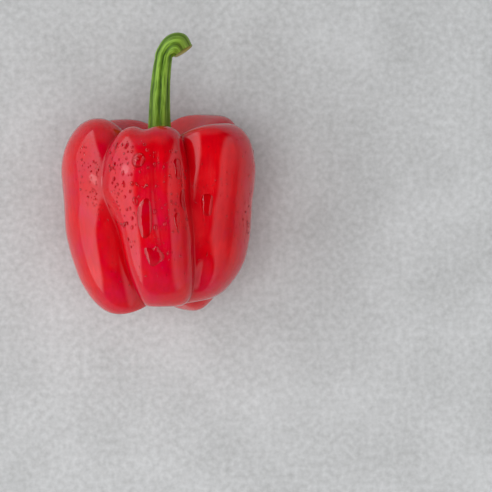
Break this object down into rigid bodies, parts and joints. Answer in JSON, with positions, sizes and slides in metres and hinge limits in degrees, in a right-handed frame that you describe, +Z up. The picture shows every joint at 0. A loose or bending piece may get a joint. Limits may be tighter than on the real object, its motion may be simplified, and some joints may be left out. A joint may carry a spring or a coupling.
{
  "type": "bell pepper",
  "caption": "Red blocky bell pepper with five lobes and a hooked green stem, lying on its side; a fresh vegetable for kitchen, shop and food scenes.",
  "frame": {"origin": "on the surface the pepper rests on, under the middle of its bounding box", "axes": "+Z up from the resting surface, +Y from the blossom end towards the stem, +X to the right seen from above with the stem pointing away"},
  "size_m": [0.0852, 0.124, 0.0817],
  "materials": {
    "fruit_skin": "waxy gloss skin, deep red",
    "stem_green": "satin, ribbed green stem"
  },
  "bodies": {
    "root": {"fruit": "fruit_skin", "stem": "stem_green"}
  },
  "joints": []
}
